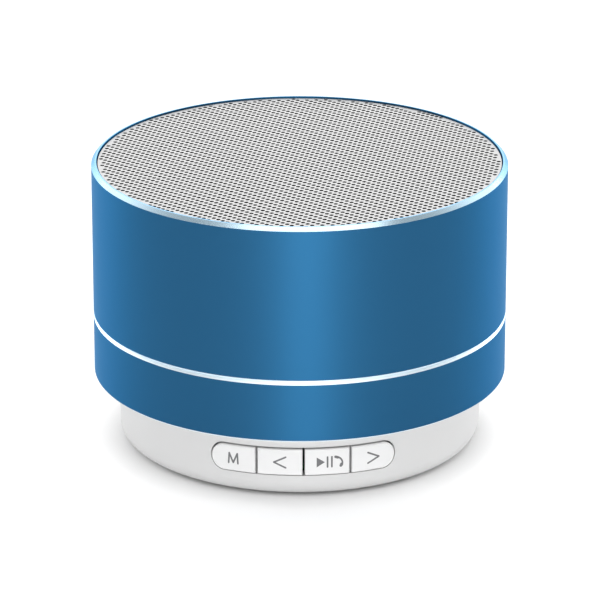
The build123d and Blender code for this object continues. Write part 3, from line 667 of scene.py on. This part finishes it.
def woven(name, tone, pitch):
    """A plain weave, darker where the threads dip: painted shade between them."""
    f = Finish(name, roughness=0.85)
    height = f.weave(pitch)
    # The colour darkens where the weave dips: painted shade between the threads.
    f.feed(
        base_color=f.mix(height, tuple(0.6 * c for c in tone), tuple(tone)),
        normal=f.bump(height, 0.1 * pitch, 0.6),
    )
    return f


class SPEAKER_OT_base(Operator):
    """Finishes the base, its foot, knob and mic grommet"""

    bl_idname = "speaker.base"
    bl_label = "Base"

    def execute(self, context):
        colours = settings().colours
        moulded("White plastic", colours.plastic, 0.42, 0.12 * MM, 0.006 * MM).wear("base_housing")
        moulded("Knob plastic", colours.plastic, 0.36, 0.15 * MM, 0.004 * MM).wear("power_knob")
        moulded("Foot rubber", colours.rubber, 0.75, 0.2 * MM, 0.02 * MM).wear("foot", "mic_grommet")
        return {"FINISHED"}


def on_wall(radius, angle, along, height):
    """A point on the keys' cylinder, a distance along the wall from an angle."""
    a = angle + along / radius
    return (radius * cos(a), radius * sin(a), height)


def stroke_outline(line, width):
    """A quad for each run of a line and a disc on each of its points, in the wall's plane."""
    shapes = []
    half = width / 2
    for (ax, ay), (bx, by) in zip(line, line[1:]):
        run = hypot(bx - ax, by - ay)
        nx, ny = -(by - ay) / run * half, (bx - ax) / run * half
        shapes.append([(ax + nx, ay + ny), (ax - nx, ay - ny), (bx - nx, by - ny), (bx + nx, by + ny)])
    disc = ring_of_points(half, FAN_SIDES)
    for px, py in line:
        shapes.append([(px + x, py + y) for x, y in disc])
    return shapes


class SPEAKER_OT_keys(Operator):
    """Finishes the keys and prints their legends"""

    bl_idname = "speaker.keys"
    bl_label = "Keys"

    def execute(self, context):
        colours = settings().colours
        sizes = settings().legends
        keys = [f"key_{name}" for name in KEYS]
        moulded("Key plastic", colours.key, 0.34, 0.15 * MM, 0.003 * MM).wear(*keys)
        ink = moulded("Grey ink", colours.ink, 0.5, 0.08 * MM, 0.003 * MM).material
        for name in KEYS:
            self.print_legend(name, sizes, ink)
        return {"FINISHED"}

    def print_legend(self, name, sizes, ink):
        node = f"key_{name}"
        low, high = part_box(node)
        middle = (low.z + high.z) / 2
        points, edges, loops = [], [], []
        for shape in LEGENDS[name](sizes.stroke):
            first = len(points)
            points += [Vector(p) / MM for p in shape]
            edges += [(first + i, first + (i + 1) % len(shape)) for i in range(len(shape))]
            loops.append(list(range(first, first + len(shape))))
        flat, _, faces, _, _, sources = delaunay_2d_cdt(points, edges, loops, 0, MESH_TOLERANCE)
        covered = [tuple(face) for face, source in zip(faces, sources) if source]
        vertices, solid = thickened(
            [(p.x * MM, p.y * MM) for p in flat],
            covered,
            lambda x, y: on_wall(KEY_FACE_RADIUS + sizes.proud, KEY_ANGLES[name], x, middle + y),
            lambda x, y: on_wall(KEY_FACE_RADIUS - sizes.sunk, KEY_ANGLES[name], x, middle + y),
        )
        new_piece(f"legend_{name}", vertices, solid, body_of(node), ink)


def chevron(stroke, way):
    half_width, half_height = 0.98 * MM, 0.94 * MM
    line = [(-way * half_width, half_height), (way * half_width, 0.0), (-way * half_width, -half_height)]
    return stroke_outline(line, stroke)


def letter_m(stroke):
    foot, high = 0.82 * MM, HALF_MARK
    shoulder, valley = 0.86 * foot, -0.88 * high
    line = [(-foot, -high), (-shoulder, high), (0.0, valley), (shoulder, high), (foot, -high)]
    return stroke_outline(line, stroke)


def arc_line(cx, cy, radius, start, stop, steps):
    """Points along an arc between two angles in degrees."""
    angles = [radians(start + (stop - start) * i / steps) for i in range(steps + 1)]
    return [(cx + radius * cos(a), cy + radius * sin(a)) for a in angles]


def play_marks(stroke):
    """A triangle, two bars and a handset: an arc with a thicker ear and mouth."""
    high, low = HALF_MARK, -HALF_MARK
    back, tip = -1.8 * MM, -0.45 * MM
    bars = (0.0, 0.72 * MM)
    handle = arc_line(1.34 * MM, -0.32 * MM, 1.16 * MM, start=88, stop=-22, steps=14)
    ear = [(1.34 * MM, 0.84 * MM), (1.72 * MM, 0.7 * MM)]
    mouth = [(2.34 * MM, -0.5 * MM), (2.22 * MM, -0.8 * MM)]
    thick = stroke * 1.6
    shapes = [[(back, high), (back, low), (tip, 0.0)]]
    for bar in bars:
        shapes += stroke_outline([(bar, high), (bar, low)], stroke)
    shapes += stroke_outline(handle, stroke)
    shapes += stroke_outline(ear, thick)
    shapes += stroke_outline(mouth, thick)
    return shapes


LEGENDS = {
    "mode": letter_m,
    "back": lambda stroke: chevron(stroke, -1),
    "play": play_marks,
    "next": lambda stroke: chevron(stroke, 1),
}


class SPEAKER_OT_inner_parts(Operator):
    """Finishes the driver, electronics, battery, screws and leads"""

    bl_idname = "speaker.inner_parts"
    bl_label = "Inner parts"

    def execute(self, context):
        groups = {}
        for part in frame["record"]["subparts"]:
            groups.setdefault(part["material_slot"], []).append(part["node"])
        for slot, (kind, tone, roughness, texture) in INNER_FINISHES.items():
            if kind == "metal":
                f = metal(slot, tone, roughness, texture)
            elif kind == "woven":
                f = woven(slot, tone, texture)
            else:
                f = moulded(slot, tone, roughness, texture, 0.05 * texture)
            dressed = [n for n in groups.get(slot, []) if n not in OUTER_PARTS]
            f.wear(*dressed)
        return {"FINISHED"}


# Parts that have a step of their own.
OUTER_PARTS = {"sleeve", "grille", "dust_cloth", "base_housing", "foot", "mic_grommet", "power_knob"}
OUTER_PARTS |= {f"key_{name}" for name in KEYS}
# For each slot of the record: kind of finish, colour, roughness, and size of the texture.
INNER_FINISHES = {
    "black_plastic": ("moulded", (0.02, 0.02, 0.021), 0.5, 0.2 * MM),
    "plunger_plastic": ("moulded", (0.12, 0.12, 0.13), 0.45, 0.15 * MM),
    "zinc_steel": ("metal", (0.62, 0.61, 0.58), 0.3, 0.2 * MM),
    "tinned_metal": ("metal", (0.72, 0.71, 0.69), 0.28, 0.2 * MM),
    "plated_iron": ("metal", (0.55, 0.55, 0.54), 0.35, 0.3 * MM),
    "former_foil": ("metal", (0.8, 0.8, 0.81), 0.25, 0.1 * MM),
    "copper_wire": ("metal", (0.62, 0.25, 0.1), 0.3, 0.1 * MM),
    "pouch_foil": ("metal", (0.68, 0.69, 0.7), 0.35, 0.6 * MM),
    "basket_steel": ("moulded", (0.022, 0.022, 0.023), 0.35, 0.25 * MM),
    "ferrite": ("moulded", (0.025, 0.025, 0.028), 0.6, 0.3 * MM),
    "soft_rubber": ("moulded", (0.018, 0.018, 0.018), 0.6, 0.2 * MM),
    "gasket_board": ("moulded", (0.05, 0.045, 0.04), 0.85, 0.3 * MM),
    "cone_paper": ("moulded", (0.035, 0.035, 0.036), 0.7, 0.4 * MM),
    "cap_metal": ("moulded", (0.03, 0.03, 0.032), 0.2, 0.4 * MM),
    "spider_cloth": ("woven", (0.45, 0.28, 0.08), 0.85, 0.4 * MM),
    "brown_laminate": ("moulded", (0.16, 0.07, 0.02), 0.5, 0.3 * MM),
    "green_laminate": ("moulded", (0.01, 0.09, 0.035), 0.3, 0.4 * MM),
    "chip_plastic": ("moulded", (0.02, 0.02, 0.021), 0.55, 0.1 * MM),
    "ceramic": ("moulded", (0.7, 0.69, 0.62), 0.3, 0.2 * MM),
    "passive_ceramic": ("moulded", (0.3, 0.2, 0.12), 0.45, 0.2 * MM),
    "cream_plastic": ("moulded", (0.7, 0.62, 0.42), 0.4, 0.2 * MM),
    "led_resin": ("moulded", (0.8, 0.84, 0.88), 0.15, 0.3 * MM),
    "tape": ("moulded", (0.75, 0.75, 0.72), 0.8, 0.3 * MM),
    "red_sleeving": ("moulded", (0.4, 0.01, 0.01), 0.35, 0.2 * MM),
    "black_sleeving": ("moulded", (0.015, 0.015, 0.015), 0.35, 0.2 * MM),
}


# Name, place, width, height, and the studio setting that holds the brightness.
PANELS = (
    ("overhead", (0.02, -0.1, 0.65), 0.6, 0.8, "top"),
    ("front_strip", (0.03, -0.7, 0.06), 0.12, 0.12, "front"),
    ("left_strip", (-0.62, 0.42, 0.12), 0.35, 0.24, "side"),
    ("right_strip", (0.62, 0.42, 0.12), 0.35, 0.24, "side"),
    ("front_key", (0.0, -0.6, 0.55), 0.7, 0.35, "key"),
)


class SPEAKER_OT_stage(Operator):
    """Sets up the floor, the lights and the camera"""

    bl_idname = "speaker.stage"
    bl_label = "Studio"

    def execute(self, context):
        studio = settings().studio
        context.scene.view_settings.view_transform = "Standard"
        self.floor(studio)
        self.world(studio)
        self.lights(studio)
        self.camera(studio)
        return {"FINISHED"}

    def floor(self, studio):
        half = FLOOR_HALF
        mesh = bpy.data.meshes.new("studio_floor")
        corners = [(-half, -half, 0), (half, -half, 0), (half, half, 0), (-half, half, 0)]
        mesh.from_pydata(corners, [], [(0, 1, 2, 3)])
        floor = add_object("studio_floor", mesh)
        f = Finish("Studio floor", roughness=0.9, specular=0.1, base_color=tuple(studio.floor))
        mesh.materials.append(f.material)

    def world(self, studio):
        """A room that is brightest behind the speaker, where its pale backdrop rises."""
        world = bpy.data.worlds.new("Studio")
        room = NodeTree(world)
        direction = room.out(room.node("ShaderNodeTexCoord"), "Generated")
        _, y, _ = room.split(direction)
        glow = y.between(0.0, 0.6) * studio.backdrop + studio.world
        inputs = {"Color": (1.0, 1.0, 1.0), "Strength": glow}
        background = room.out(room.node("ShaderNodeBackground", None, inputs), 0)
        room.node("ShaderNodeOutputWorld", None, {"Surface": background})
        bpy.context.scene.world = world

    def panel(self, name, place, width, height, brightness):
        """A soft panel that faces the speaker. Its brightness is the radiance of its face."""
        light = bpy.data.lights.new(name, "AREA")
        light.shape = "RECTANGLE"
        light.size = width
        light.size_y = height
        light.energy = brightness * pi * width * height
        lamp = add_object(name, light)
        lamp.location = place
        towards = LAMP_AIM - lamp.location
        lamp.rotation_euler = towards.to_track_quat("-Z", "Y").to_euler()
        lamp.visible_camera = False

    def lights(self, studio):
        for name, place, width, height, setting in PANELS:
            self.panel(name, place, width, height, getattr(studio, setting))

    def camera(self, studio):
        data = bpy.data.cameras.new("camera")
        data.lens = studio.lens
        data.sensor_width = 36.0
        data.clip_start = 0.01
        camera = add_object("camera", data)
        a, e = studio.azimuth, studio.elevation
        aim = Vector((CAMERA_SHIFT, 0, studio.aim))
        away = Vector((sin(a) * cos(e), -cos(a) * cos(e), sin(e)))
        camera.location = aim + away * studio.distance
        camera.rotation_euler = (-away).to_track_quat("-Z", "Y").to_euler()
        bpy.context.scene.camera = camera


class SPEAKER_PT_panel(Panel):
    """Every step of the speaker, in order"""

    bl_idname = "SPEAKER_PT_panel"
    bl_label = "Pocket Speaker"
    bl_space_type = "VIEW_3D"
    bl_region_type = "UI"
    bl_category = "Speaker"

    def draw(self, context):
        for step in STEPS:
            self.layout.operator(step.bl_idname)


STEPS = (
    SPEAKER_OT_sleeve,
    SPEAKER_OT_grille,
    SPEAKER_OT_cloth,
    SPEAKER_OT_base,
    SPEAKER_OT_keys,
    SPEAKER_OT_inner_parts,
    SPEAKER_OT_stage,
)
CLASSES = (GrilleSizes, LegendSizes, FinishColours, StudioSettings, SpeakerSettings, *STEPS, SPEAKER_PT_panel)


def register():
    for cls in CLASSES:
        bpy.utils.register_class(cls)
    bpy.types.Scene.speaker = PointerProperty(type=SpeakerSettings)


def unregister():
    del bpy.types.Scene.speaker
    for cls in reversed(CLASSES):
        bpy.utils.unregister_class(cls)


def main():
    register()
    for step in STEPS:
        group, name = step.bl_idname.split(".")
        getattr(getattr(bpy.ops, group), name)()


if __name__ == "__main__":
    main()
